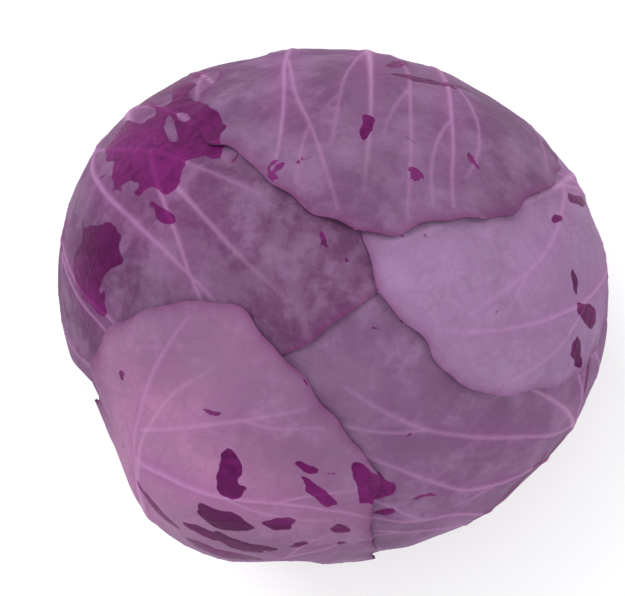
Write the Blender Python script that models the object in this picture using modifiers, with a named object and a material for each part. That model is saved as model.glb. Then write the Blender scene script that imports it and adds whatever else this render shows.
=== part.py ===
"""A head of red cabbage, bare, standing on the cut face of its stem.

Eleven wrapping leaves lie over a tight heart of inner leaves, and all of them are held by the
stem, whose cone reaches up into the heart. Run it with blender --background --python part.py,
or from Blender's text editor. Lengths are in metres, +Z is up, and the origin is the middle of
the stem's cut face.
"""

import math

import bpy
import numpy as np

# The head
HEAD_WIDTH = 0.1365
HEAD_DEPTH = 0.1280
CENTRE_HEIGHT = 0.0605
CROWN_RISE = 0.0650
BASE_DROP = 0.0612

# The stem: its cone inside the heart is given as parts of the neck's radius, and heights.
CUT_RADIUS = 0.0135
CUT_EDGE = 0.0010
NECK_RADIUS = 0.0125
FLARE_FOOT = 0.0030
FLARE_TOP = 0.0075
CORE_TOP = 0.0670
CORE_PROFILE = ((0.14, 0.0664), (0.24, 0.0640), (0.55, 0.0395), (0.92, 0.0210), (1.0, 0.0150))
TURNED_STEPS = 32

# The leaves
BLADE_AT_TIP = 0.0009
BLADE_AT_BASE = 0.0018
LEAF_GAP = 0.00135
HEART_GAP = 0.0020
STEM_CLEARANCE = 0.0016
CORE_CLEARANCE = 0.0006
INNER_BASE_RADIUS = 0.0420
LEAF_CELLS = 15
MARGIN_SAMPLES = 120
HEART_SUBDIVISIONS = 4

# A leaf lifts the ones outside it as far as this past its margin, and then less and less. The
# heart gives way under it over a slightly wider fall.
COVER_SPREAD = math.radians(10)
COVER_FALL = math.radians(22)
PRESS_FALL = math.radians(26)

# Outermost first: azimuth and height of the leaf's middle, how far it spreads from there towards
# greater and towards smaller azimuth, and its reach to the tip, all in degrees, then how sharp
# its tip is.
LEAVES = (
    (78, 14, 20, 30, 60, 2.2),
    (222, 14, 56, 14, 62, 3.5),
    (23, 15, 50, 19, 66, 3.5),
    (131, 18, 60, 38, 74, 1.6),
    (314, 18, 50, 50, 80, 1.6),
    (266, 20, 56, 56, 86, 1.6),
    (184, 20, 56, 50, 86, 1.6),
    (48, 22, 60, 60, 90, 1.6),
    (236, 24, 60, 60, 90, 1.6),
    (340, 24, 62, 62, 90, 1.6),
    (112, 24, 62, 62, 90, 1.6),
)

# Waves along a leaf's margin: how many go round it, and how deep each is in degrees.
MARGIN_WAVES = ((3, 2.2), (5, 1.6), (8, 1.0), (13, 0.6))
BASE_LOBE = 0.50

# Swellings of the head: azimuth and spread in degrees, height as a part of the radius.
SWELLINGS = ((25, 40, 0.015), (141, 36, 0.075), (205, 24, -0.055), (234, 20, 0.085), (310, 30, -0.035))

# Colours and finish
LEAF_COLOUR = (0.24, 0.10, 0.23, 1.0)
HEART_COLOUR = (0.20, 0.05, 0.17, 1.0)
STEM_COLOUR = (0.72, 0.62, 0.50, 1.0)
LEAF_ROUGHNESS = 0.5
HEART_ROUGHNESS = 0.45
STEM_ROUGHNESS = 0.7
SHARP_ANGLE = math.radians(40)


def clear_scene():
    for old in list(bpy.data.objects):
        bpy.data.objects.remove(old, do_unlink=True)


def collection(name):
    made = bpy.data.collections.new(name)
    bpy.context.scene.collection.children.link(made)
    return made


def material(name, colour, roughness):
    made = bpy.data.materials.new(name)
    made.use_nodes = True
    shader = made.node_tree.nodes["Principled BSDF"]
    shader.inputs["Base Color"].default_value = colour
    shader.inputs["Roughness"].default_value = roughness
    shader.inputs["Metallic"].default_value = 0.0
    return made


def settle(obj, name, home, finish):
    """Names a new object, puts it in its collection, gives it its material and shades it smooth."""
    obj.name = name
    obj.data.name = name
    for other in list(obj.users_collection):
        other.objects.unlink(obj)
    home.objects.link(obj)
    obj.data.materials.clear()
    obj.data.materials.append(finish)
    obj.data.shade_smooth()
    obj.data.set_sharp_from_angle(angle=SHARP_ANGLE)
    return obj


def smooth_step(value):
    value = np.clip(value, 0.0, 1.0)
    return value * value * (3.0 - 2.0 * value)


def head_radius(u):
    """Radius of the whole head in the unit directions u: an egg with low swellings round its side."""
    half_height = np.where(u[:, 2] > 0, CROWN_RISE, BASE_DROP)
    flat = (2.0 * u[:, 0] / HEAD_WIDTH) ** 2 + (2.0 * u[:, 1] / HEAD_DEPTH) ** 2
    egg = 1.0 / np.sqrt(flat + (u[:, 2] / half_height) ** 2)
    azimuth = np.degrees(np.arctan2(u[:, 1], u[:, 0]))
    swelling = np.zeros(len(u))
    for centre, spread, height in SWELLINGS:
        away = (azimuth - centre + 180.0) % 360.0 - 180.0
        swelling += height * np.exp(-((away / spread) ** 2))
    return egg * (1.0 + swelling * (1.0 - u[:, 2] ** 2))


def leaf_axes(leaf):
    """The direction of the leaf's middle, of its left side and of its tip."""
    azimuth, height = math.radians(leaf[0]), math.radians(leaf[1])
    middle = np.array(
        (math.cos(height) * math.cos(azimuth), math.cos(height) * math.sin(azimuth), math.sin(height))
    )
    side = np.array((-math.sin(azimuth), math.cos(azimuth), 0.0))
    return middle, side, np.cross(middle, side)


def outline(number, turn):
    """How far the margin of a leaf is from its middle, as an angle, at each turn from its tip."""
    height, wide, narrow, reach = (math.radians(value) for value in LEAVES[number][1:5])
    base_radius = INNER_BASE_RADIUS + (len(LEAVES) - 1 - number) * LEAF_GAP
    at_stem = math.asin((NECK_RADIUS + STEM_CLEARANCE) / base_radius)
    base = math.pi / 2 + height - at_stem
    to_tip = (0.5 + 0.5 * np.cos(turn)) ** LEAVES[number][5]
    to_base = np.exp(-((np.abs(math.pi - np.abs(turn)) / BASE_LOBE) ** 3))
    waves = np.zeros_like(turn)
    for count, depth in MARGIN_WAVES:
        waves += math.radians(depth) * np.sin(count * turn + 2.4 * number + 1.7 * count)
    side = narrow + (wide - narrow) * smooth_step(0.5 + 0.5 * np.sin(turn))
    return side + (reach - side) * to_tip + (base - side) * to_base + waves * (1.0 - to_base)


def leaf_directions(number, turn, away):
    """Unit directions from the head's centre, given by their turn and angle from a leaf's middle."""
    middle, side, tip = leaf_axes(LEAVES[number])
    outward = np.outer(np.sin(turn), side) + np.outer(np.cos(turn), tip)
    return np.cos(away)[:, None] * middle + np.sin(away)[:, None] * outward


def past_margin(number, u):
    """How far outside a leaf's margin the unit directions u are, as an angle, and 0 inside it."""
    middle, side, tip = leaf_axes(LEAVES[number])
    away = np.arccos(np.clip(u @ middle, -1.0, 1.0))
    turn = np.arctan2(u @ side, u @ tip)
    round_turn = np.linspace(-math.pi, math.pi, MARGIN_SAMPLES, endpoint=False)
    margin = leaf_directions(number, round_turn, outline(number, round_turn))
    nearest = np.arccos(np.clip((u @ margin.T).max(axis=1), -1.0, 1.0))
    return np.where(away < outline(number, turn), 0.0, nearest)


def blade_thickness(number, u):
    """A leaf is thin at its tip and thickens towards the stem."""
    tip = leaf_axes(LEAVES[number])[2]
    return BLADE_AT_TIP + (BLADE_AT_BASE - BLADE_AT_TIP) * smooth_step(0.5 - 0.5 * (u @ tip))


def cover(number, u, fall):
    """1 over a leaf and a little past its margin, falling smoothly to 0 further out."""
    return 1.0 - smooth_step((past_margin(number, u) - COVER_SPREAD) / fall)


def layer(number, u, fall):
    """The room that a leaf and the gap under the next one take up in the directions u."""
    return cover(number, u, fall) * (blade_thickness(number, u) + LEAF_GAP)


def heart_radius(u):
    """Radius of the heart, which is pressed in under the leaves so that the head stays round."""
    radius = head_radius(u) - HEART_GAP
    for number in range(len(LEAVES)):
        radius = radius - layer(number, u, PRESS_FALL)
    return radius


def leaf_radius(number, u):
    """Radius of a leaf's inner face: it rests on every leaf that lies further in."""
    radius = heart_radius(u) + HEART_GAP
    for inner in range(number + 1, len(LEAVES)):
        radius = radius + layer(inner, u, COVER_FALL)
    return radius


def write_points(mesh, points):
    mesh.vertices.foreach_set("co", points.astype(np.float32).ravel())
    mesh.update()


def read_points(mesh):
    points = np.empty(len(mesh.vertices) * 3)
    mesh.vertices.foreach_get("co", points)
    return points.reshape(-1, 3)


def leaf(number, home, finish):
    """A flat grid, rounded to a disc, laid on the head and given the blade's thickness."""
    bpy.ops.mesh.primitive_grid_add(x_subdivisions=LEAF_CELLS, y_subdivisions=LEAF_CELLS, size=2)
    obj = bpy.context.object
    flat = read_points(obj.data)
    across = flat[:, 0] * np.sqrt(1.0 - flat[:, 1] ** 2 / 2.0)
    along = flat[:, 1] * np.sqrt(1.0 - flat[:, 0] ** 2 / 2.0)
    turn = np.arctan2(across, along) + math.pi / 4
    u = leaf_directions(number, turn, np.hypot(across, along) * outline(number, turn))
    points = u * leaf_radius(number, u)[:, None]
    points[:, 2] += CENTRE_HEIGHT
    write_points(obj.data, points)
    settle(obj, f"leaf_{number + 1:02d}", home, finish)

    thick = obj.vertex_groups.new(name="thickness")
    for index, value in enumerate(blade_thickness(number, u)):
        thick.add([index], float(value / BLADE_AT_BASE), "REPLACE")
    shell = obj.modifiers.new("blade", "SOLIDIFY")
    shell.thickness = BLADE_AT_BASE
    shell.offset = 1.0
    shell.vertex_group = thick.name
    return obj


def turned(name, profile, home, finish):
    """A closed body turned from a profile that runs from the top of the axis to its foot."""
    mesh = bpy.data.meshes.new(name)
    points = [(radius, 0.0, height) for radius, height in profile]
    mesh.from_pydata(points, [(i, i + 1) for i in range(len(points) - 1)], [])
    obj = bpy.data.objects.new(name, mesh)
    bpy.context.scene.collection.objects.link(obj)
    settle(obj, name, home, finish)
    screw = obj.modifiers.new("turn", "SCREW")
    screw.steps = TURNED_STEPS
    screw.render_steps = TURNED_STEPS
    screw.use_merge_vertices = True
    screw.merge_threshold = 0.00001
    screw.use_smooth_shade = True
    return obj


def core_profile(spare):
    """The stem's cone inside the heart, widened by spare, from its tip down to the neck."""
    side = [(part * NECK_RADIUS + spare, height + spare) for part, height in CORE_PROFILE]
    return [(0.0, CORE_TOP + spare)] + side


def stem(home, finish):
    """The core and the neck in one, flared at the foot, where it was cut off square."""
    profile = core_profile(0.0) + [
        (NECK_RADIUS, FLARE_TOP),
        (CUT_RADIUS, FLARE_FOOT),
        (CUT_RADIUS, CUT_EDGE),
        (CUT_RADIUS - CUT_EDGE, 0.0),
        (0.0, 0.0),
    ]
    return turned("stem", profile, home, finish)


def core_cutter(home, finish):
    """The room that the core takes out of the heart, down to below the heart."""
    profile = core_profile(CORE_CLEARANCE) + [(NECK_RADIUS + CORE_CLEARANCE, 0.0), (0.0, 0.0)]
    cutter = turned("core_cutter", profile, home, finish)
    cutter.hide_render = True
    cutter.display_type = "WIRE"
    return cutter


def heart(home, finish, cutter):
    """The tight inner leaves as one body, open below where the stem goes in."""
    bpy.ops.mesh.primitive_ico_sphere_add(subdivisions=HEART_SUBDIVISIONS, radius=1)
    obj = bpy.context.object
    u = read_points(obj.data)
    u /= np.linalg.norm(u, axis=1)[:, None]
    points = u * heart_radius(u)[:, None]
    points[:, 2] += CENTRE_HEIGHT
    write_points(obj.data, points)
    settle(obj, "heart", home, finish)
    seat = obj.modifiers.new("stem_seat", "BOOLEAN")
    seat.operation = "DIFFERENCE"
    seat.solver = "EXACT"
    seat.object = cutter
    return obj


clear_scene()
parts = collection("cabbage_head")
cutters = collection("cutters")
leaf_finish = material("red_leaf", LEAF_COLOUR, LEAF_ROUGHNESS)
heart_finish = material("heart_leaf", HEART_COLOUR, HEART_ROUGHNESS)
stem_finish = material("stem_pith", STEM_COLOUR, STEM_ROUGHNESS)

stem(parts, stem_finish)
heart(parts, heart_finish, core_cutter(cutters, stem_finish))
for leaf_number in range(len(LEAVES)):
    leaf(leaf_number, parts, leaf_finish)
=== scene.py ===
import math

import bpy
import numpy as np
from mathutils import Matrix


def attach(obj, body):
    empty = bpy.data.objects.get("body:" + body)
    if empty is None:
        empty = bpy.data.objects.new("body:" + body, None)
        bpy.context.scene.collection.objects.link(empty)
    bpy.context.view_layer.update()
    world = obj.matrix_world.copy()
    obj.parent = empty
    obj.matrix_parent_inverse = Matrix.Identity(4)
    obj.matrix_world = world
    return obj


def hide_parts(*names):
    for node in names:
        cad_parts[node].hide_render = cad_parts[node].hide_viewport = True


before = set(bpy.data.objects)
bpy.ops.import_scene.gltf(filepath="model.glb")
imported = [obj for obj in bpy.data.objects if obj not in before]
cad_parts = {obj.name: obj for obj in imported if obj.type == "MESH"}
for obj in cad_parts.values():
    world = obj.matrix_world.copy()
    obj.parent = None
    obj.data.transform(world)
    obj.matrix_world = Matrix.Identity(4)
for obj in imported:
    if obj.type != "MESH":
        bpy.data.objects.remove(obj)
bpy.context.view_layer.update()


# THE STEM
# A short fibrous stalk with a pale pith and a tougher violet rind, on which every leaf grows.
# It was cut off square below the lowest leaf, so its open face has dried and browned at the
# edge, and its side keeps the low scars of the leaves that were pulled away.

STEM_SIDES = 160
CUT_RADIUS = 0.0132
STEM_PROFILE = (
    (0.0008, 0.0135),
    (0.0024, 0.0137),
    (0.0042, 0.0133),
    (0.0062, 0.0128),
    (0.0085, 0.0125),
    (0.0110, 0.0124),
    (0.0150, 0.0123),
    (0.0200, 0.0117),
    (0.0300, 0.0094),
    (0.0395, 0.0067),
    (0.0520, 0.0046),
    (0.0640, 0.0029),
    (0.0668, 0.0012),
)
# Where a leaf was pulled away: its turn round the stem, in radians, and its height.
LEAF_SCARS = ((0.4, 0.0046), (1.7, 0.0068), (2.9, 0.0040), (3.9, 0.0074), (5.2, 0.0056))
SCAR_WIDTH = 0.0006
SCAR_BEND = 0.0016
TRIMMED_HEIGHT = 0.018
PITH_RINGS = (0.0124, 0.0119, 0.0112, 0.0101, 0.0088, 0.0073, 0.0056, 0.0038, 0.0019)


def read_points(mesh):
    points = np.empty(len(mesh.vertices) * 3)
    mesh.vertices.foreach_get("co", points)
    return points.reshape(-1, 3)


def write_points(mesh, points):
    mesh.vertices.foreach_set("co", points.astype(np.float32).ravel())
    mesh.update()


def write_values(mesh, name, values):
    made = mesh.attributes.new(name, "FLOAT", "POINT")
    made.data.foreach_set("value", np.asarray(values, np.float32))


def waves(places, seed, length, count=14):
    """Soft random swells of about the given length over places, from about -1 to 1."""
    draw = np.random.default_rng(seed)
    total = np.zeros(len(places))
    for _ in range(count):
        way = draw.normal(size=3)
        way *= 2.0 * math.pi / (length * draw.uniform(0.75, 1.35) * np.linalg.norm(way))
        total += np.sin(places @ way + draw.uniform(0.0, 2.0 * math.pi))
    return total * math.sqrt(2.0 / count) * 0.6


class Wire:
    """A socket in a shader, so that a sum of values reads as one line of Python."""

    def __init__(self, tree, socket=None):
        self.tree, self.socket = tree, socket

    def node(self, kind, settings=(), inputs=(), output=0):
        """Adds a node: first its settings, then the value or wire of each of its sockets."""
        made = self.tree.nodes.new("ShaderNode" + kind)
        for name, value in dict(settings).items():
            setattr(made, name, value)
        for name, value in dict(inputs).items():
            if isinstance(value, Wire):
                self.tree.links.new(value.socket, made.inputs[name])
            else:
                made.inputs[name].default_value = value
        return Wire(self.tree, made.outputs[output])

    def math(self, operation, *values, clamp=False):
        settings = {"operation": operation, "use_clamp": clamp}
        return self.node("Math", settings, enumerate(values))

    def __add__(self, other):
        return self.math("ADD", self, other)

    def __sub__(self, other):
        return self.math("SUBTRACT", self, other)

    def __rsub__(self, other):
        return self.math("SUBTRACT", other, self)

    def __mul__(self, other):
        return self.math("MULTIPLY", self, other)

    __radd__, __rmul__ = __add__, __mul__

    def clamped(self):
        return self.math("ADD", self, 0.0, clamp=True)

    def above(self, edge, softness):
        """0 below the edge and 1 above it, with a soft change between."""
        inputs = {"Value": self, "From Min": edge - softness, "From Max": edge + softness}
        return self.node("MapRange", {"interpolation_type": "SMOOTHSTEP"}, inputs)

    def noise(self, size, detail=2.0, roughness=0.5, distortion=0.0):
        """Cloudy values round 0.5, with clouds of about the given size, read at this place."""
        inputs = {"Vector": self, "Scale": 1.0 / size, "Detail": detail}
        inputs |= {"Roughness": roughness, "Distortion": distortion}
        return self.node("TexNoise", inputs=inputs)

    def blend(self, first, second):
        """A colour that goes from the first to the second as this value goes from 0 to 1."""
        return self.node("Mix", {"data_type": "RGBA"}, {0: self, 6: first, 7: second}, 2)


def finish(name):
    """A new material, with its shader, and a wire to start its nodes from."""
    made = bpy.data.materials.new(name)
    made.use_nodes = True
    return made, made.node_tree.nodes["Principled BSDF"].inputs, Wire(made.node_tree)


def plug(sockets, **values):
    """Sets sockets of a shader by name, with _ for the spaces in a name."""
    for name, value in values.items():
        socket = sockets[name.replace("_", " ")]
        if isinstance(value, Wire):
            value.tree.links.new(value.socket, socket)
        else:
            socket.default_value = value


def deselect():
    for obj in bpy.context.selected_objects:
        obj.select_set(False)


deselect()
bpy.ops.mesh.primitive_circle_add(vertices=STEM_SIDES, radius=CUT_RADIUS, fill_type="NGON")
stem = bpy.context.object
stem.name = stem.data.name = "cut_stem"
bpy.ops.object.mode_set(mode="EDIT")
bpy.ops.mesh.select_mode(type="FACE")
bpy.ops.mesh.select_all(action="SELECT")
at_height, at_radius = 0.0, CUT_RADIUS
for height, radius in STEM_PROFILE:
    bpy.ops.mesh.extrude_region_move(TRANSFORM_OT_translate={"value": (0, 0, height - at_height)})
    grown = radius / at_radius
    bpy.ops.transform.resize(value=(grown, grown, 1), center_override=(0, 0, height))
    at_height, at_radius = height, radius
bpy.ops.mesh.inset(thickness=0.0006, depth=0.0003)
bpy.ops.mesh.select_all(action="DESELECT")
bpy.ops.object.mode_set(mode="OBJECT")
at_radius = CUT_RADIUS
cut_face = min(stem.data.polygons, key=lambda face: (-len(face.vertices), face.center.z))
cut_face.select = True
bpy.ops.object.mode_set(mode="EDIT")
for radius in PITH_RINGS:
    bpy.ops.mesh.inset(thickness=at_radius - radius)
    at_radius = radius
bpy.ops.mesh.select_all(action="SELECT")
bpy.ops.mesh.normals_make_consistent(inside=False)
bpy.ops.object.mode_set(mode="OBJECT")

points = read_points(stem.data)
axis_distance = np.hypot(points[:, 0], points[:, 1])
around = np.arctan2(points[:, 1], points[:, 0])
on_cut = points[:, 2] < 1e-5
on_side = ~on_cut & (points[:, 2] < TRIMMED_HEIGHT)
pith = axis_distance / CUT_RADIUS
scars = np.zeros(len(points))
for turn, height in LEAF_SCARS:
    bend = SCAR_BEND * np.cos(around - turn)
    near = 0.5 + 0.5 * np.cos(around - turn)
    scars += near * np.exp(-(((points[:, 2] - height - bend) / SCAR_WIDTH) ** 2))
swell = 0.00016 * waves(points * (1, 1, 0.35), 3, 0.0045) + 0.00028 * scars
grown = 1.0 + np.where(on_side, swell / np.maximum(axis_distance, 1e-4), 0.0)
points[:, :2] *= grown[:, None]
rings = 0.00009 * np.sin(pith * 40.0 + 0.8 * np.sin(3 * around)) * (pith < 0.97)
hollow = 0.00055 * (1.0 - pith**2) + rings + 0.00010 * waves(points, 5, 0.0035)
points[:, 2] += np.where(on_cut, np.clip(hollow, 0.0, 0.0009) * (pith < 0.985), 0.0)
write_points(stem.data, points)
write_values(stem.data, "cut", on_cut * 1.0)
write_values(stem.data, "pith", np.where(on_cut, pith, 1.0))
write_values(stem.data, "scar", np.clip(scars, 0.0, 1.0) * on_side)
stem.select_set(True)
bpy.ops.object.shade_smooth_by_angle(angle=math.radians(40))

stem_finish, shader, wire = finish("cut_stem")
place = wire.node("TexCoord", output=3)
cut = wire.node("Attribute", {"attribute_name": "cut"}, output=2)
pith = wire.node("Attribute", {"attribute_name": "pith"}, output=2)
scar = wire.node("Attribute", {"attribute_name": "scar"}, output=2)
cloud = place.noise(0.006, 4.0, 0.6)
fibre = place.noise(0.0009, 3.0, 0.6)
upright = wire.node("Mapping", inputs={"Vector": place, "Scale": (1.0, 1.0, 0.12)})
streak = upright.noise(0.0011, 3.0)
ring = wire.math("SINE", pith * 40.0 + cloud * 4.0)
dried = (cloud * 0.7 + fibre * 0.5).above(0.62, 0.2)
face = dried.blend((0.74, 0.63, 0.44, 1), (0.60, 0.46, 0.28, 1))
browned = (pith + (cloud - 0.5) * 0.10).above(0.93, 0.035)
face = browned.blend(face, (0.26, 0.14, 0.085, 1))
outer_pith = (pith + (fibre - 0.5) * 0.05).above(0.80, 0.03)
face = (outer_pith * 0.45 * (ring * 0.5 + 0.5)).blend(face, (0.48, 0.36, 0.24, 1))
streaked = (cloud * 0.6 + streak * 0.6).above(0.60, 0.16)
rind = streaked.blend((0.55, 0.40, 0.42, 1), (0.36, 0.19, 0.30, 1))
rind = (scar * 0.75).blend(rind, (0.42, 0.27, 0.19, 1))
side = cut.blend(rind, face)
relief = ring * 0.15 + fibre * 0.7 + streak * 0.8
bump = wire.node("Bump", inputs={"Height": relief, "Distance": 0.00022, "Strength": 0.8})
plug(shader, Base_Color=side, Roughness=0.62 + cloud * 0.2, Normal=bump, Specular_IOR_Level=0.35)
stem.data.materials.append(stem_finish)
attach(stem, "root")
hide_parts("stem")


# THE HEART
# The tight ball of inner leaves, still folded over each other. It is out of sight behind the
# wrapping leaves, which press on it all round, and it holds the tapered end of the stem.

heart_finish, shader, wire = finish("heart_leaves")
place = wire.node("TexCoord", output=3)
cloud = place.noise(0.018, 4.0, 0.55)
fold = wire.node("Mapping", inputs={"Vector": place, "Scale": (1.0, 1.0, 0.25)}).noise(0.006, 3.0)
inner = cloud.above(0.5, 0.2).blend((0.13, 0.026, 0.10, 1), (0.24, 0.085, 0.22, 1))
inner = (fold.above(0.62, 0.05) * 0.6).blend(inner, (0.50, 0.30, 0.46, 1))
bump = wire.node("Bump", inputs={"Height": fold + cloud, "Distance": 0.0012, "Strength": 0.6})
plug(shader, Base_Color=inner, Roughness=0.40 + cloud * 0.2, Normal=bump)
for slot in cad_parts["heart"].material_slots:
    slot.material = heart_finish


# THE WRAPPING LEAVES
# Eleven thick, brittle leaves, each grown round the head over the ones inside it and joined to
# the stem by its broad pale rib. The skin is a deep magenta under a greyish lilac bloom of wax,
# which rubs off in glossy patches wherever the head has been handled.

HEAD_WIDTH = 0.1350
HEAD_DEPTH = 0.1266
CENTRE_HEIGHT = 0.0605
CROWN_RISE = 0.0632
BASE_DROP = 0.0600
MEAN_RADIUS = 0.0620

# Low swellings of the whole head: azimuth and spread in degrees, height as a part of the radius.
SWELLINGS = (
    (25, 40, 0.015),
    (141, 36, 0.075),
    (205, 24, -0.055),
    (234, 20, 0.085),
    (310, 30, -0.035),
)

# Outermost first: azimuth and height of the leaf's middle, how far it spreads from there towards
# greater and towards smaller azimuth, and its reach to the tip, all in degrees, then how sharp
# its tip is.
LEAVES = (
    (78, 14, 20, 30, 60, 2.2),
    (222, 14, 56, 14, 62, 3.5),
    (23, 15, 50, 19, 66, 3.5),
    (131, 18, 60, 38, 74, 1.6),
    (314, 18, 50, 50, 80, 1.6),
    (266, 20, 56, 56, 86, 1.6),
    (184, 20, 56, 50, 86, 1.6),
    (48, 22, 60, 60, 90, 1.6),
    (236, 24, 60, 60, 90, 1.6),
    (340, 24, 62, 62, 90, 1.6),
    (112, 24, 62, 62, 90, 1.6),
)
MARGIN_WAVES = ((3, 2.2), (5, 1.6), (8, 1.0), (13, 0.6), (21, 0.35), (34, 0.22))
BASE_LOBE = 0.50
INNER_BASE_RADIUS = 0.0500
BASE_STEP = 0.00085
STEM_HOLD = 0.0121

BLADE_AT_TIP = 0.00062
BLADE_AT_BASE = 0.0016
LEAF_GAP = 0.00028
COVER_SPREAD = math.radians(1.6)
COVER_FALL = math.radians(8.5)
MARGIN_SAMPLES = 300
RIB_PRINT = 0.40

# A leaf's inner face is a coarse grid, and its outer face a finer one over the same places.
BACK_CELLS = 93
FINER = 3
HIDDEN_BACK_CELLS = 46
SHOWN_LEAVES = 7


def smooth_step(value):
    value = np.clip(value, 0.0, 1.0)
    return value * value * (3.0 - 2.0 * value)


def head_radius(u):
    """Radius of the head in the unit directions u: an egg with swellings and soft dents."""
    half_height = np.where(u[:, 2] > 0, CROWN_RISE, BASE_DROP)
    flat = (2.0 * u[:, 0] / HEAD_WIDTH) ** 2 + (2.0 * u[:, 1] / HEAD_DEPTH) ** 2
    egg = 1.0 / np.sqrt(flat + (u[:, 2] / half_height) ** 2)
    azimuth = np.degrees(np.arctan2(u[:, 1], u[:, 0]))
    swelling = np.zeros(len(u))
    for centre, spread, height in SWELLINGS:
        away = (azimuth - centre + 180.0) % 360.0 - 180.0
        swelling += height * np.exp(-((away / spread) ** 2))
    dents = 0.0060 * waves(u, 11, 0.62) + 0.0035 * waves(u, 12, 0.30)
    return egg * (1.0 + swelling * (1.0 - u[:, 2] ** 2) + dents)


def direction(azimuth, height):
    azimuth, height = np.radians(azimuth), np.radians(height)
    level = np.cos(height)
    return np.stack((level * np.cos(azimuth), level * np.sin(azimuth), np.sin(height)), axis=-1)


def leaf_axes(number):
    """The direction of a leaf's middle, of its side and of its tip."""
    azimuth, height = LEAVES[number][:2]
    return direction(azimuth, height), direction(azimuth + 90, 0), direction(azimuth, height + 90)


def outline(number, turn):
    """How far the margin of a leaf is from its middle, as an angle, at each turn from its tip."""
    height, wide, narrow, reach = (math.radians(value) for value in LEAVES[number][1:5])
    base_radius = INNER_BASE_RADIUS + (len(LEAVES) - 1 - number) * BASE_STEP
    base = math.pi / 2 + height - math.asin(STEM_HOLD / base_radius)
    to_tip = (0.5 + 0.5 * np.cos(turn)) ** LEAVES[number][5]
    to_base = np.exp(-((np.abs(math.pi - np.abs(turn)) / BASE_LOBE) ** 3))
    wavy = np.zeros_like(turn)
    for count, depth in MARGIN_WAVES:
        wavy += math.radians(depth) * np.sin(count * turn + 2.4 * number + 1.7 * count)
    side = narrow + (wide - narrow) * smooth_step(0.5 + 0.5 * np.sin(turn))
    return side + (reach - side) * to_tip + (base - side) * to_base + wavy * (1.0 - to_base)


def leaf_directions(number, turn, away):
    """Unit directions from the head's centre, given by turn and angle from a leaf's middle."""
    middle, side, tip = leaf_axes(number)
    outward = np.outer(np.sin(turn), side) + np.outer(np.cos(turn), tip)
    return np.cos(away)[:, None] * middle + np.sin(away)[:, None] * outward


def on_leaf(number, u):
    """Turn and angle from a leaf's middle, and the place on the leaf laid flat, in metres."""
    middle, side, tip = leaf_axes(number)
    away = np.arccos(np.clip(u @ middle, -1.0, 1.0))
    turn = np.arctan2(u @ side, u @ tip)
    flat = np.stack((away * np.sin(turn), away * np.cos(turn)), axis=-1) * MEAN_RADIUS
    return turn, away, flat


def margin_angle(number, u):
    """Angle from the unit directions u to the nearest point of a leaf's margin."""
    turns = np.linspace(-math.pi, math.pi, MARGIN_SAMPLES, endpoint=False)
    margin = leaf_directions(number, turns, outline(number, turns))
    return np.arccos(np.clip((u @ margin.T).max(axis=1), -1.0, 1.0))


def blade_thickness(number, u):
    tip = leaf_axes(number)[2]
    return BLADE_AT_TIP + (BLADE_AT_BASE - BLADE_AT_TIP) * smooth_step(0.45 - 0.6 * (u @ tip))


def cover(number, u):
    """1 over a leaf and just past its margin, falling smoothly to 0 a little further out."""
    turn, away, _ = on_leaf(number, u)
    outside = away > outline(number, turn) - 0.02
    covered = np.ones(len(u))
    inside = away[outside] < outline(number, turn[outside])
    past = np.where(inside, 0.0, margin_angle(number, u[outside]))
    covered[outside] = 1.0 - smooth_step((past - COVER_SPREAD) / COVER_FALL)
    return covered


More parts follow.
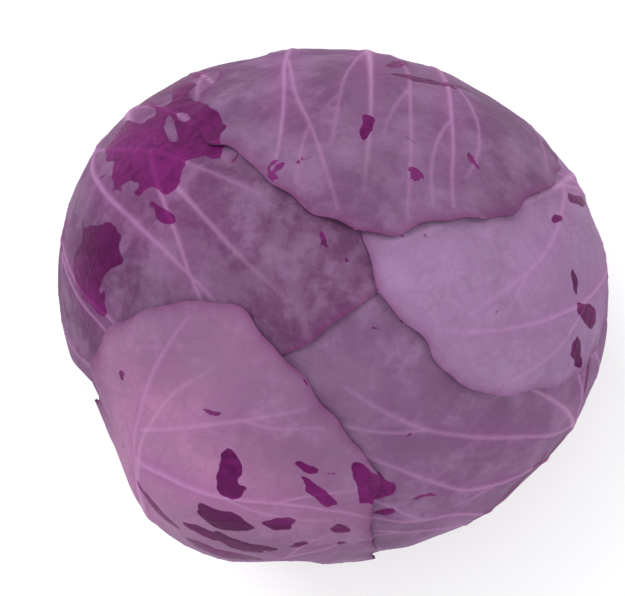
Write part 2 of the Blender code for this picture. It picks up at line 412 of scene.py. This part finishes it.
# Ribs that run in set places, as azimuth and elevation in degrees: first the midribs, and then
# each leaf's side ribs, with the width in millimetres where each one starts.
MIDRIBS = {
    0: ((80, -74), (81, -60), (82, -25), (83, 5), (82, 28), (80, 50), (78, 66)),
    1: ((222, -74), (226, -60), (232, -30), (231, -5), (226, 14), (216, 31), (208, 48), (205, 62)),
    3: ((131, -74), (131, -58), (132, -34), (134, -8), (138, 18), (142, 44), (150, 66), (170, 80)),
    4: ((314, -74), (318, -58), (322, -40), (330, -8), (335, 20), (338, 44), (338, 66)),
}
SIDE_RIBS = {
    0: (
        (2.8, (82, -45), (95, -15), (101, 19), (104.6, 42)),
        (1.5, (101, 22), (101, 40), (98, 52)),
        (2.8, (80, -40), (70, -8), (62.7, 29), (55.7, 44.6)),
        (1.6, (82, -2), (74, 22), (71, 37), (66.6, 50)),
        (1.3, (83, 14), (88, 34), (91, 50)),
        (2.0, (81, -58), (104, -35), (110, -5)),
        (2.2, (80, -58), (60, -36), (48, -10), (40, 16)),
    ),
    1: (
        (2.8, (218, 28), (227, 37), (248, 45), (268, 45), (280, 41)),
        (2.4, (231, -6), (246, 8), (262, 26), (276, 32)),
        (2.4, (232, -30), (250, -14), (266, 4), (276, 16)),
        (2.0, (226, 14), (216, 28), (208, 38)),
        (2.0, (231, -28), (212, -12), (204, 2)),
        (1.6, (212, 36), (222, 54), (236, 64)),
        (2.0, (226, -60), (252, -44), (268, -22)),
        (1.8, (226, -60), (206, -40), (200, -20)),
    ),
    2: (
        (2.6, (23, -30), (24, 5), (29, 26), (30, 48)),
        (2.2, (23, -10), (10, 12), (2, 30), (-2, 42)),
        (1.8, (24, 8), (40, 30), (52, 46)),
        (1.6, (28, 22), (14, 44), (6, 56)),
        (2.2, (22, -34), (8, -14), (2, 4)),
        (2.2, (22, -34), (44, -16), (60, 2)),
    ),
    3: (
        (2.4, (132, -46), (124, -10), (120, 16), (116, 37)),
        (2.4, (134, -20), (147, 12), (153, 30), (158, 46)),
        (1.6, (147, 12), (145, 24), (140, 36)),
        (2.4, (133, -38), (150, -5), (167, 16), (187, 41)),
        (2.2, (133, -52), (160, 0), (178, 28), (195, 41)),
        (2.0, (132, -60), (166, -20), (184, 8), (197, 26)),
        (1.8, (136, 8), (130, 30), (122, 48)),
        (1.8, (140, 36), (156, 54), (176, 62)),
    ),
    4: (
        (2.4, (329, -14), (322, 17), (307, 34), (300, 44)),
        (2.4, (326, -26), (314, -6), (307, 9), (301, 27), (292, 33)),
        (2.2, (323, -38), (310, -18), (302, 8), (296, 24), (284, 31)),
        (2.2, (320, -50), (296, -30), (284, -8), (278, 12)),
        (2.0, (328, -20), (342, 2), (352, 20)),
        (2.0, (333, 10), (346, 28), (354, 44)),
        (1.8, (334, 14), (326, 36), (314, 52)),
    ),
}


def smoothed(knots, steps=5):
    """More points along a smooth line through the knots."""
    knots = np.asarray(knots, float)
    ends = np.vstack((2 * knots[0] - knots[1], knots, 2 * knots[-1] - knots[-2]))
    line = []
    for a, b, c, d in zip(ends, ends[1:], ends[2:], ends[3:]):
        for t in np.linspace(0.0, 1.0, steps, endpoint=False):
            curved = (2 * a - 5 * b + 4 * c - d) * t**2 + (3 * b - a - 3 * c + d) * t**3
            line.append(0.5 * (2 * b + (c - a) * t + curved))
    return np.array(line + [knots[-1]])


# Width and height in metres of the midrib, of a side rib of 1, and of a veinlet.
MIDRIB_WIDTH, MIDRIB_RISE = 0.0050, 0.0026
SIDE_WIDTH, SIDE_RISE, FORK_RISE = 0.00056, 0.00027, 0.00025
VEINLET_WIDTH, VEINLET_RISE = 0.00045, 0.00016
SIDE_CLEAR, FORK_CLEAR, VEINLET_CLEAR = 0.004, 0.0035, 0.0011
SIDE_COUNT = 12


def rib(line, width, rise, end=0.3, fading=0.8):
    """A rib along a line on the flat leaf, as wide and high as given where it starts."""
    along = np.linspace(0.0, 1.0, len(line))
    taper = end + (1.0 - end) * (1.0 - along) ** fading
    return line, width * taper, rise * taper**1.3


def leaf_ribs(number):
    """The ribs and the veinlets of a leaf, each as a line with its widths and heights."""
    draw = np.random.default_rng(40 + number)
    turns = np.linspace(-math.pi, math.pi, 361)
    margin = outline(number, turns) * MEAN_RADIUS
    reach, base = margin[180], margin[0]

    def grown(line, heading, bend, step, longest, part=0.97, others=(), clear=0.0016):
        """The line, grown on with a steady bend as far as the margin or near another rib."""
        line = list(line)
        start = point = line[-1]
        for _ in range(int(longest / step)):
            point = point + step * np.array((math.sin(heading), math.cos(heading)))
            turn = math.atan2(point[0], point[1])
            if math.hypot(*point) > part * np.interp(turn, turns, margin):
                break
            if len(others) and math.hypot(*(point - start)) > 2.2 * clear:
                if np.hypot(*(others - point).T).min() < clear:
                    break
            line.append(point)
            heading += bend + draw.uniform(-0.05, 0.05)
        return np.array(line)

    def heading_at(line, index):
        way = line[index + 1] - line[index]
        return math.atan2(way[0], way[1])

    if number in MIDRIBS:
        midrib = smoothed(on_leaf(number, direction(*np.array(MIDRIBS[number]).T))[2])
    else:
        up = np.linspace(-base, 0.9 * reach, 9)
        sway = draw.uniform(-0.10, 0.10) * (up - up[0])
        sway += 0.0016 * np.sin(up / 0.013 + draw.uniform(0, 6))
        midrib = smoothed(np.stack((sway * smooth_step((up - up[0]) / 0.05), up), axis=-1))

    sides = []
    for width, *knots in SIDE_RIBS.get(number, ()):
        line = smoothed(on_leaf(number, direction(*np.array(knots).T))[2])
        bend = draw.uniform(-0.04, 0.04)
        others = np.vstack([line for line, _ in sides] + [midrib])
        heading = heading_at(line, len(line) - 2)
        line = grown(line, heading, bend, 0.003, 0.03, 0.97, others, SIDE_CLEAR)
        sides.append((line, width))
    count = 0 if number in SIDE_RIBS else SIDE_COUNT
    for index in range(count):
        part = 0.10 + 0.78 * (index + draw.uniform(0.1, 0.9)) / count
        start = int(part * (len(midrib) - 2))
        hand = 1 if index % 2 else -1
        lean = math.radians(66 - 30 * part) + draw.uniform(-0.1, 0.1)
        heading = heading_at(midrib, start) + hand * lean
        line = grown([midrib[start]], heading, -hand * 0.04 * lean, 0.004, 0.15)
        if len(line) > 4:
            sides.append((line, 2.8 - 1.3 * part))
    ribs = [rib(midrib, MIDRIB_WIDTH, MIDRIB_RISE, 0.02, 1.4)]
    ribs += [rib(line, width * SIDE_WIDTH, width * SIDE_RISE, 0.22) for line, width in sides]

    # Each side rib forks once or twice on its way out.
    for line, width in sides:
        hand = draw.choice((-1, 1))
        for part in (draw.uniform(0.36, 0.50), draw.uniform(0.60, 0.74)):
            start = int(part * (len(line) - 2))
            heading = heading_at(line, start) + hand * draw.uniform(0.42, 0.62)
            others = np.vstack([one[0] for one in ribs])
            begun = [line[start]]
            fork = grown(begun, heading, -hand * 0.05, 0.002, 0.045, 0.97, others, FORK_CLEAR)
            hand = -hand
            if len(fork) > 4:
                thin = width * (0.70 - 0.35 * part)
                ribs.append(rib(fork, thin * SIDE_WIDTH, thin * FORK_RISE, 0.25))

    veinlets = []
    taken = np.vstack([smoothed(line, 3) for line, _, _ in ribs])
    for line, widths, rises in ribs[1:]:
        steps = np.linalg.norm(np.diff(line, axis=0), axis=1)
        along = np.concatenate(([0.0], np.cumsum(steps)))
        hand = draw.choice((-1, 1))
        reached = draw.uniform(0.004, 0.008)
        while reached < along[-1] - 0.003:
            index = int(np.searchsorted(along, reached)) - 1
            heading = heading_at(line, index) + hand * math.radians(draw.uniform(40, 68))
            start = line[index] + (line[index + 1] - line[index]) * 0.5
            bend = -hand * draw.uniform(-0.02, 0.12)
            length = draw.uniform(0.006, 0.017)
            twig = grown([start], heading, bend, 0.0016, length, 0.985, taken, VEINLET_CLEAR)
            if len(twig) > 3:
                veinlets.append(rib(twig, VEINLET_WIDTH, VEINLET_RISE, 0.45))
            hand = -hand
            reached += draw.uniform(0.0035, 0.0075)
    return ribs, veinlets


def ridge(flat, ribs, profile):
    """The highest profile of any rib at each place on the flat leaf, and how far it spreads."""
    height = np.zeros(len(flat))
    for line, widths, rises in ribs:
        room = profile(widths.max(), rises.max(), None)
        low, high = line.min(axis=0) - room, line.max(axis=0) + room
        near = np.flatnonzero(((flat > low) & (flat < high)).all(axis=1))
        if not len(near):
            continue
        best = np.zeros(len(near))
        for a, b, w0, w1, h0, h1 in zip(line, line[1:], widths, widths[1:], rises, rises[1:]):
            way = b - a
            t = np.clip((flat[near] - a) @ way / max(way @ way, 1e-12), 0.0, 1.0)
            gone = np.hypot(*(flat[near] - a - t[:, None] * way).T)
            best = np.maximum(best, profile(w0 + (w1 - w0) * t, h0 + (h1 - h0) * t, gone))
        height[near] = np.maximum(height[near], best)
    return height


def raised(width, rise, gone):
    """The rib itself: a rounded ridge with a soft foot."""
    if gone is None:
        return 5.0 * width
    crest, foot = np.exp(-((gone / width) ** 2)), 0.35 * np.exp(-((gone / (2.4 * width)) ** 2))
    return rise * np.maximum(crest, foot)


def roomy(width, rise, gone):
    """The room to keep over a rib under the next leaf."""
    return 6.0 * width if gone is None else rise * np.exp(-((gone / (1.9 * width)) ** 2))


FOLD_REACH = 0.0125
FOLD_HEIGHT = 0.00135
FOLD_ROUNDING = 0.0008


def folded(width, rise, gone):
    """The leaf is creased along its ribs, with flatter panels between them."""
    if gone is None:
        return FOLD_REACH + 0.0005
    tent = np.clip(1.0 - np.sqrt(gone**2 + FOLD_ROUNDING**2) / FOLD_REACH, 0.0, 1.0) ** 1.25
    return np.minimum(1.0, width / FOLD_HEIGHT) * FOLD_HEIGHT * tent


def drawn(width, rise, gone):
    """How strongly the pale line of a rib shows."""
    if gone is None:
        return 4.0 * max(width, 0.0007)
    line = np.maximum(0.55 * width, 0.00048)
    return np.clip(width / 0.0013, 0.0, 1.0) ** 0.7 * np.exp(-((gone / line) ** 2))


RIBS = [leaf_ribs(number) for number in range(len(LEAVES))]


def layers(u, number):
    """Radius under a leaf in the directions u, what covers it, and how far it is folded up."""
    covers, folds = [], []
    radius = head_radius(u)
    for other in range(len(LEAVES)):
        covered = cover(other, u)
        near = covered > 0.0
        fold, room = np.zeros(len(u)), np.zeros(len(u))
        flat = on_leaf(other, u[near])[2]
        ribs = RIBS[other][0]
        if other < SHOWN_LEAVES:
            fold[near] = ridge(flat, ribs, folded) * covered[near]
        if other < SHOWN_LEAVES or number >= SHOWN_LEAVES:
            room[near] = ridge(flat, ribs[:1], roomy) * covered[near]
        if other <= number:
            room[near] = np.maximum(room[near], ridge(flat, ribs, roomy) * covered[near])
            radius = radius - covered * (blade_thickness(other, u) + LEAF_GAP) - fold - room
        radius = radius + RIB_PRINT * (fold + room)
        covers.append(covered)
        folds.append(fold)
    return radius + folds[number], covers[:number]


# How pale and thick the bloom is on each leaf.
PALE = (0.25, 0.35, 0.85, 0.10, 0.35, 0.30, 0.25, 0.2, 0.2, 0.2, 0.2)

# Where the bloom has been rubbed off: azimuth, elevation, half length and half width in degrees,
# and how far the patch's length is turned from level. One patch is painted shade instead.
RUBBED_AND_SHADED = (
    (129, 12, 13, 6.5, 78),
    (129, 31, 11, 6, 80),
    (139, 28, 13, 7, 60),
    (135, 40, 10, 8, 0),
    (143, 24, 8, 6, 0),
    (131, 22, 12, 8, 90),
    (152, 3, 7, 5, 0),
    (166, 35, 8, 5, 80),
    (172, 30, 8, 3.6, 35),
    (164, 13, 5, 1.4, 30),
    (179, 15, 4, 1.0, 0),
    (187, 6, 4, 1.4, 60),
    (237, 48, 4.5, 3.0, 110),
    (241, 35, 6, 3.0, 0),
    (246, 27, 9, 2.6, 0),
    (248, 18, 5.5, 2.4, 0),
    (240, 19, 4, 1.8, 0),
    (255, 38.5, 2.4, 2.2, 0),
    (261, 31, 2.2, 1.2, 30),
    (271, 38, 2.2, 2.0, 0),
    (271, 31, 1.2, 1.0, 0),
    (264, 50, 5.5, 1.8, 140),
    (259, 56, 3.0, 1.0, 160),
    (282, 50, 5.5, 3.4, 115),
    (283, 40, 2.2, 0.9, 0),
    (229, 22, 5, 1.4, 0),
    (81, 50, 3, 1.6, 90),
    (76, 21, 5, 1.2, 70),
    (73, 28, 4.0, 1.4, 0),
    (66, 27, 5, 1.6, 10),
    (60, 22, 5, 1.4, 40),
    (54, 19, 4, 1.1, 40),
    (23.7, 19.3, 3, 1.2, 80),
    (6.5, 34.6, 2.6, 0.9, 10),
    (22, 34, 2.2, 0.8, 80),
    (359, 30, 5, 1.6, 75),
    (-10, 32, 4, 1.6, 30),
    # Painted shade: dark bare skin where the lower margin of the third leaf shades the leaf below.
    (-15, 20, 4, 1.2, 10),
    (-36, 13, 7, 2.6, 10),
    (-40, 17, 5, 2.2, 20),
    (-50, 12, 8, 2.2, 5),
    (-58, 4, 6, 3.0, 0),
    (-68, 13, 4, 1.8, 0),
)
# Islands of bloom that are left inside the rubbed patches.
ISLANDS = (
    (129.8, 19, 5.6, 1.8, 90),
    (135.4, 20, 6.2, 2.1, 90),
    (129, 32.5, 1.8, 1.0, 90),
    (133, 34, 4.5, 0.8, 75),
    (152, 22, 8, 4.5, 80),
    (165, 23, 4.5, 3.0, 0),
)
# Small patches, placed at random below the widest line.
LOW_PATCHES = 34


def patch(u, azimuth, height, length, width, tilt):
    """1 in the middle of a patch, 0.5 round its edge, and falling to 0 outside."""
    x = np.degrees(u @ direction(azimuth + 90, 0))
    y = np.degrees(u @ direction(azimuth, height + 90))
    tilt = math.radians(tilt)
    along = x * math.cos(tilt) + y * math.sin(tilt)
    across = y * math.cos(tilt) - x * math.sin(tilt)
    around = np.arctan2(across / width, along / length)
    lobes = 0.13 * np.sin(2 * around + azimuth) + 0.10 * np.sin(3 * around + height)
    lobes += 0.07 * np.sin(5 * around + 2 * azimuth)
    far = np.hypot(along / length, across / width) * (1.0 + lobes)
    return np.where(u @ direction(azimuth, height) > 0, 1.0 / (1.0 + far**2.4), 0.0)


def rubbed_and_shaded(u):
    """How far the bloom is gone, with one patch of painted shade: above 0.5 the skin is bare."""
    draw = np.random.default_rng(7)
    patches = list(RUBBED_AND_SHADED)
    for _ in range(LOW_PATCHES):
        size = draw.uniform(1.2, 6.0)
        thin = size * draw.uniform(0.3, 0.8)
        azimuth, height, tilt = (draw.uniform(*ends) for ends in ((0, 360), (-60, 0), (-50, 50)))
        patches.append((azimuth, height, size, thin, tilt))
    gone = np.zeros(len(u))
    for values in patches:
        gone = np.maximum(gone, patch(u, *values))
    for values in ISLANDS:
        gone = gone * (1.0 - smooth_step((patch(u, *values) - 0.27) / 0.44))
    return gone


def steep(count, finer):
    """Weights that make values on a coarse row of cells into smooth values on a finer row."""
    weights = np.zeros((count * finer + 1, count + 1))
    for index in range(count * finer + 1):
        cell = min(index // finer, count - 1)
        t = index / finer - cell
        before, after = -t + 2 * t**2 - t**3, t**3 - t**2
        parts = (before, 2 - 5 * t**2 + 3 * t**3, t + 4 * t**2 - 3 * t**3, after)
        for offset, part in zip((-1, 0, 1, 2), parts):
            near = cell + offset
            if near < 0:
                weights[index, 0] += 2 * 0.5 * part
                weights[index, 1] -= 0.5 * part
            elif near > count:
                weights[index, count] += 2 * 0.5 * part
                weights[index, count - 1] -= 0.5 * part
            else:
                weights[index, near] += 0.5 * part
    return weights


def laid_out(number, cells):
    """Turn and angle of a square grid of points, rounded to a disc that fills a leaf's outline."""
    row = np.linspace(-1.0, 1.0, cells + 1)
    x, y = (values.ravel() for values in np.meshgrid(row, row))
    across, along = x * np.sqrt(1.0 - y**2 / 2.0), y * np.sqrt(1.0 - x**2 / 2.0)
    turn = np.arctan2(across, along) + math.pi / 4
    return turn, np.hypot(across, along) * outline(number, turn)


def sheet_of(cells):
    """A new flat grid of cells, selected alone."""
    deselect()
    bpy.ops.mesh.primitive_grid_add(x_subdivisions=cells, y_subdivisions=cells, size=2)
    return bpy.context.object


LIFT_REACH = 0.0046
LEAST_LIFT = 0.00015
MOST_LIFT = 0.0012
THINNED_EDGE = 0.005
RIM_WIDTH = 0.0012
CREASE_ANGLE = math.radians(55)


def wrapping_leaf(number):
    """A leaf laid on the head: its outer face with ribs, its inner face, and the edge between."""
    back_cells = BACK_CELLS if number < SHOWN_LEAVES else HIDDEN_BACK_CELLS
    finer = FINER if number < SHOWN_LEAVES else 2
    turn, away = laid_out(number, back_cells)
    u = leaf_directions(number, turn, away)
    radius, outer_covers = layers(u, number)

    # The margin stands off a little and ripples wherever no leaf outside holds it down.
    from_margin = margin_angle(number, u) * MEAN_RADIUS
    held = np.max(outer_covers + [np.zeros(len(u))], axis=0)
    from_base = np.abs(np.angle(np.exp(1j * (turn - math.pi))))
    free = (1.0 - held) * smooth_step((from_base - 0.55) / 0.4)
    lift = np.exp(-((from_margin / LIFT_REACH) ** 1.3))
    quick_wave = np.sin(23 * turn + 2 * number + np.sin(5 * turn))
    ripple = 0.5 + 0.5 * np.sin(9 * turn + number) * quick_wave
    high_up = 0.4 + 0.6 * smooth_step((u[:, 2] - 0.1) / 0.4)
    radius = radius + free * lift * (LEAST_LIFT + MOST_LIFT * ripple * high_up)

    weights = steep(back_cells, finer)
    fine_radius, fine_margin = (
        (weights @ values.reshape(back_cells + 1, -1) @ weights.T).ravel()
        for values in (radius, from_margin)
    )
    fine_turn, fine_away = laid_out(number, back_cells * finer)
    v = leaf_directions(number, fine_turn, fine_away)
    flat = on_leaf(number, v)[2]
    ribs, veinlets = RIBS[number]
    blade = blade_thickness(number, v) * (0.60 + 0.40 * smooth_step(fine_margin / THINNED_EDGE))
    thick = blade + ridge(flat, ribs, raised) + 0.8 * ridge(flat, veinlets, raised)

    inner = sheet_of(back_cells)
    points = u * radius[:, None]
    points[:, 2] += CENTRE_HEIGHT
    write_points(inner.data, points)
    inner.data.flip_normals()
    outer = sheet_of(back_cells * finer)
    points = v * fine_radius[:, None]
    points[:, 2] += CENTRE_HEIGHT
    write_points(outer.data, points)
    normals = np.empty(len(points) * 3)
    outer.data.vertices.foreach_get("normal", normals)
    write_points(outer.data, points + normals.reshape(-1, 3) * thick[:, None])
    outer.name = outer.data.name = f"wrapping_leaf_{number + 1:02d}"

    write_values(outer.data, "rib", ridge(flat, ribs[1:], drawn))
    write_values(outer.data, "vein", ridge(flat, veinlets, drawn))
    write_values(outer.data, "midrib", ridge(flat, ribs[:1], drawn))
    # The crease height, which the shader also reads as the mask of a painted highlight.
    write_values(outer.data, "fold", ridge(flat, ribs, folded) / FOLD_HEIGHT)
    write_values(outer.data, "rim", np.exp(-np.clip(fine_margin, 0, 1) / RIM_WIDTH))
    write_values(outer.data, "rub_and_shade", rubbed_and_shaded(v))
    write_values(outer.data, "foot", smooth_step((-v[:, 2] - 0.45) / 0.5))
    pink = patch(v, 222, 16, 34, 12, 95) + 0.7 * patch(v, 226, 42, 26, 9, 20)
    write_values(outer.data, "pink", np.clip(pink, 0.0, 1.0) * (number == 1))
    write_values(outer.data, "pale", np.full(len(v), PALE[number]))
    for old_map in list(outer.data.uv_layers):
        outer.data.uv_layers.remove(old_map)
    blade_map = outer.data.uv_layers.new(name="blade")
    corners = np.empty(len(outer.data.loops), int)
    outer.data.loops.foreach_get("vertex_index", corners)
    laid = flat[corners] * 10.0 + (3.7 * number, 1.9 * number)
    blade_map.data.foreach_set("uv", laid.astype(np.float32).ravel())
    for old_map in list(inner.data.uv_layers):
        inner.data.uv_layers.remove(old_map)
    inner.data.uv_layers.new(name="blade")

    inner.select_set(True)
    outer.select_set(True)
    bpy.ops.object.join()
    bpy.ops.object.mode_set(mode="EDIT")
    bpy.ops.mesh.select_mode(type="EDGE")
    bpy.ops.mesh.select_all(action="DESELECT")
    bpy.ops.mesh.select_non_manifold()
    bpy.ops.mesh.bridge_edge_loops()
    bpy.ops.mesh.select_all(action="DESELECT")
    bpy.ops.object.mode_set(mode="OBJECT")
    outer.data.materials.clear()
    outer.data.materials.append(leaf_finish)
    bpy.ops.object.shade_smooth_by_angle(angle=CREASE_ANGLE)
    return outer


leaf_finish, shader, wire = finish("red_leaf")
place = wire.node("TexCoord", output=3)
spread_out = wire.node("UVMap", {"uv_map": "blade"})


def value_of(name):
    return wire.node("Attribute", {"attribute_name": name}, output=2)


rib_line, vein, midrib = value_of("rib"), value_of("vein"), value_of("midrib")
rim, rub_and_shade, foot, fold = value_of("rim"), value_of("rub_and_shade"), value_of("foot"), value_of("fold")
pink, pale = value_of("pink"), value_of("pale")
broad = place.noise(0.032, 3.0, 0.5)
cloud = place.noise(0.011, 4.0, 0.6)
mottle = place.noise(0.0030, 4.0, 0.65)
grain = place.noise(0.0007, 2.0, 0.6)

# The net of the finest veins, drawn as the borders of small uneven cells.
NET_CELLS = 19.0
net_inputs = {"Vector": spread_out, "Scale": NET_CELLS, "Randomness": 0.9}
net = wire.node("TexVoronoi", {"feature": "DISTANCE_TO_EDGE"}, net_inputs)
net_line = 1.0 - net.above(0.05, 0.05)

# Where the bloom is gone, with a ragged edge, where it is smeared thin and where it lies thick.
# One of the bare patches is painted shade under the lower margin of the third leaf.
ragged = place.noise(0.0075, 1.6, 0.45, 0.5)
worn_and_shaded = rub_and_shade + (ragged - 0.5) * 1.05 + (cloud - 0.5) * 0.30 + (mottle - 0.5) * 0.05
bare_and_shaded = worn_and_shaded.above(0.50, 0.022)
fleck = (place.noise(0.0065, 3.0, 0.55, 0.6) + (broad - 0.5) * 0.5).above(0.745, 0.012)
bare_and_shaded = wire.math("MAXIMUM", bare_and_shaded, fleck * 0.9)
smear = (place.noise(0.019, 4.0, 0.62) * 0.6 + mottle * 0.4).above(0.50, 0.08)
dusty = (place.noise(0.026, 5.0, 0.65, 0.8) * 0.7 + mottle * 0.3).above(0.53, 0.06) * 0.45

# The bare skin, and then the bloom over it: both are brighter along the ribs, which are paler in
# their own colour, and over the raised creases beside them, which is a painted highlight.
skin = broad.above(0.50, 0.12).blend((0.064, 0.004, 0.049, 1), (0.115, 0.008, 0.088, 1))
skin = (mottle.above(0.54, 0.08) * 0.6).blend(skin, (0.044, 0.003, 0.034, 1))
# The ribs and veins are paler in their own colour; the share from the creases is painted
# highlight.
skin = (rib_line * 0.6 + vein * 0.25 + fold * 0.25).clamped().blend(skin, (0.19, 0.018, 0.145, 1))
waxed = cloud.above(0.50, 0.11).blend((0.076, 0.023, 0.070, 1), (0.156, 0.077, 0.154, 1))
waxed = (smear * 0.8).blend(waxed, (0.070, 0.015, 0.060, 1))
waxed = (pale * 0.75).clamped().blend(waxed, (0.310, 0.190, 0.342, 1))
waxed = (pink * 0.9).clamped().blend(waxed, (0.335, 0.150, 0.280, 1))
# Painted highlight: a brighter magenta over the raised creases along the ribs.
waxed = (fold * fold * 0.65).clamped().blend(waxed, (0.235, 0.060, 0.207, 1))
waxed = (dusty * (1.0 - fold * 0.6)).blend(waxed, (0.185, 0.105, 0.190, 1))
waxed = (net_line * 0.14).blend(waxed, (0.18, 0.07, 0.17, 1))
waxed = (vein * 0.30).clamped().blend(waxed, (0.22, 0.08, 0.20, 1))
waxed = (rib_line * 0.70).clamped().blend(waxed, (0.38, 0.185, 0.365, 1))
waxed = (midrib * 0.70).clamped().blend(waxed, (0.40, 0.215, 0.37, 1))

# The margin is darker, and the foot of the leaf is pale and nearly white along its midrib.
colour = bare_and_shaded.blend(waxed, skin)
colour = (rim * 0.65).clamped().blend(colour, (0.12, 0.014, 0.088, 1))
colour = (foot * (0.30 + midrib * 0.65)).clamped().blend(colour, (0.60, 0.45, 0.48, 1))

height = grain * 0.25 + mottle * 0.35 + net_line * 0.45 + cloud * 0.5
bump = wire.node("Bump", inputs={"Height": height, "Distance": 0.00025, "Strength": 0.5})
plug(
    shader,
    Base_Color=colour,
    Roughness=0.55 - bare_and_shaded * 0.12 + (grain - 0.5) * 0.10,
    Specular_IOR_Level=0.04,
    Normal=bump,
)

for number in range(len(LEAVES)):
    made = wrapping_leaf(number)
    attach(made, "root")
    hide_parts(f"leaf_{number + 1:02d}")


# THE TABLE AND THE LIGHT
# The head stands by itself on a plain white table under a big soft lamp, with a white room
# round it that fills the shadows.

TABLE_SIDE = 6.0
KEY_PLACE, KEY_SIZE, KEY_POWER = (-0.55, 0.65, 1.05), 0.75, 6.8
FILL_PLACE, FILL_SIZE, FILL_POWER = (0.9, -0.4, 0.9), 0.9, 1.5
HEAD_MIDDLE = (0, 0, 0.06)
ROOM_BRIGHTNESS = 1.18
CAMERA_PLACE = (-0.0056, 0.0024, 0.4745)
CAMERA_LENS = 95.0

deselect()
bpy.ops.mesh.primitive_plane_add(size=TABLE_SIDE, location=(0, 0, 0))
table = bpy.context.object
table.name = table.data.name = "table"
table_finish, shader, wire = finish("white_table")
cloud = wire.node("TexCoord", output=3).noise(0.35, 2.0)
plug(
    shader,
    Base_Color=cloud.blend((0.87, 0.87, 0.88, 1), (0.89, 0.89, 0.895, 1)),
    Roughness=0.85,
    Specular_IOR_Level=0.2,
)
table.data.materials.append(table_finish)


def lamp(name, place, aim, size, power):
    deselect()
    bpy.ops.object.light_add(type="AREA", location=place)
    obj = bpy.context.object
    obj.name = obj.data.name = name
    obj.data.shape = "DISK"
    obj.data.size = size
    obj.data.energy = power
    toward = np.array(aim) - np.array(place)
    tilt = math.atan2(math.hypot(toward[0], toward[1]), -toward[2])
    obj.rotation_euler = (tilt, 0.0, math.atan2(-toward[0], toward[1]))


lamp("key", KEY_PLACE, HEAD_MIDDLE, KEY_SIZE, KEY_POWER)
lamp("fill", FILL_PLACE, HEAD_MIDDLE, FILL_SIZE, FILL_POWER)

world = bpy.data.worlds.new("room")
bpy.context.scene.world = world
world.use_nodes = True
background = world.node_tree.nodes["Background"].inputs
background["Color"].default_value = (1.0, 1.0, 1.0, 1.0)
background["Strength"].default_value = ROOM_BRIGHTNESS
bpy.context.scene.view_settings.view_transform = "Standard"

bpy.ops.object.camera_add(location=CAMERA_PLACE, rotation=(0, 0, 0))
camera = bpy.context.object
camera.name = camera.data.name = "overhead_camera"
camera.data.lens = CAMERA_LENS
camera.data.sensor_width = 36.0
camera.data.clip_start = 0.01
bpy.context.scene.camera = camera
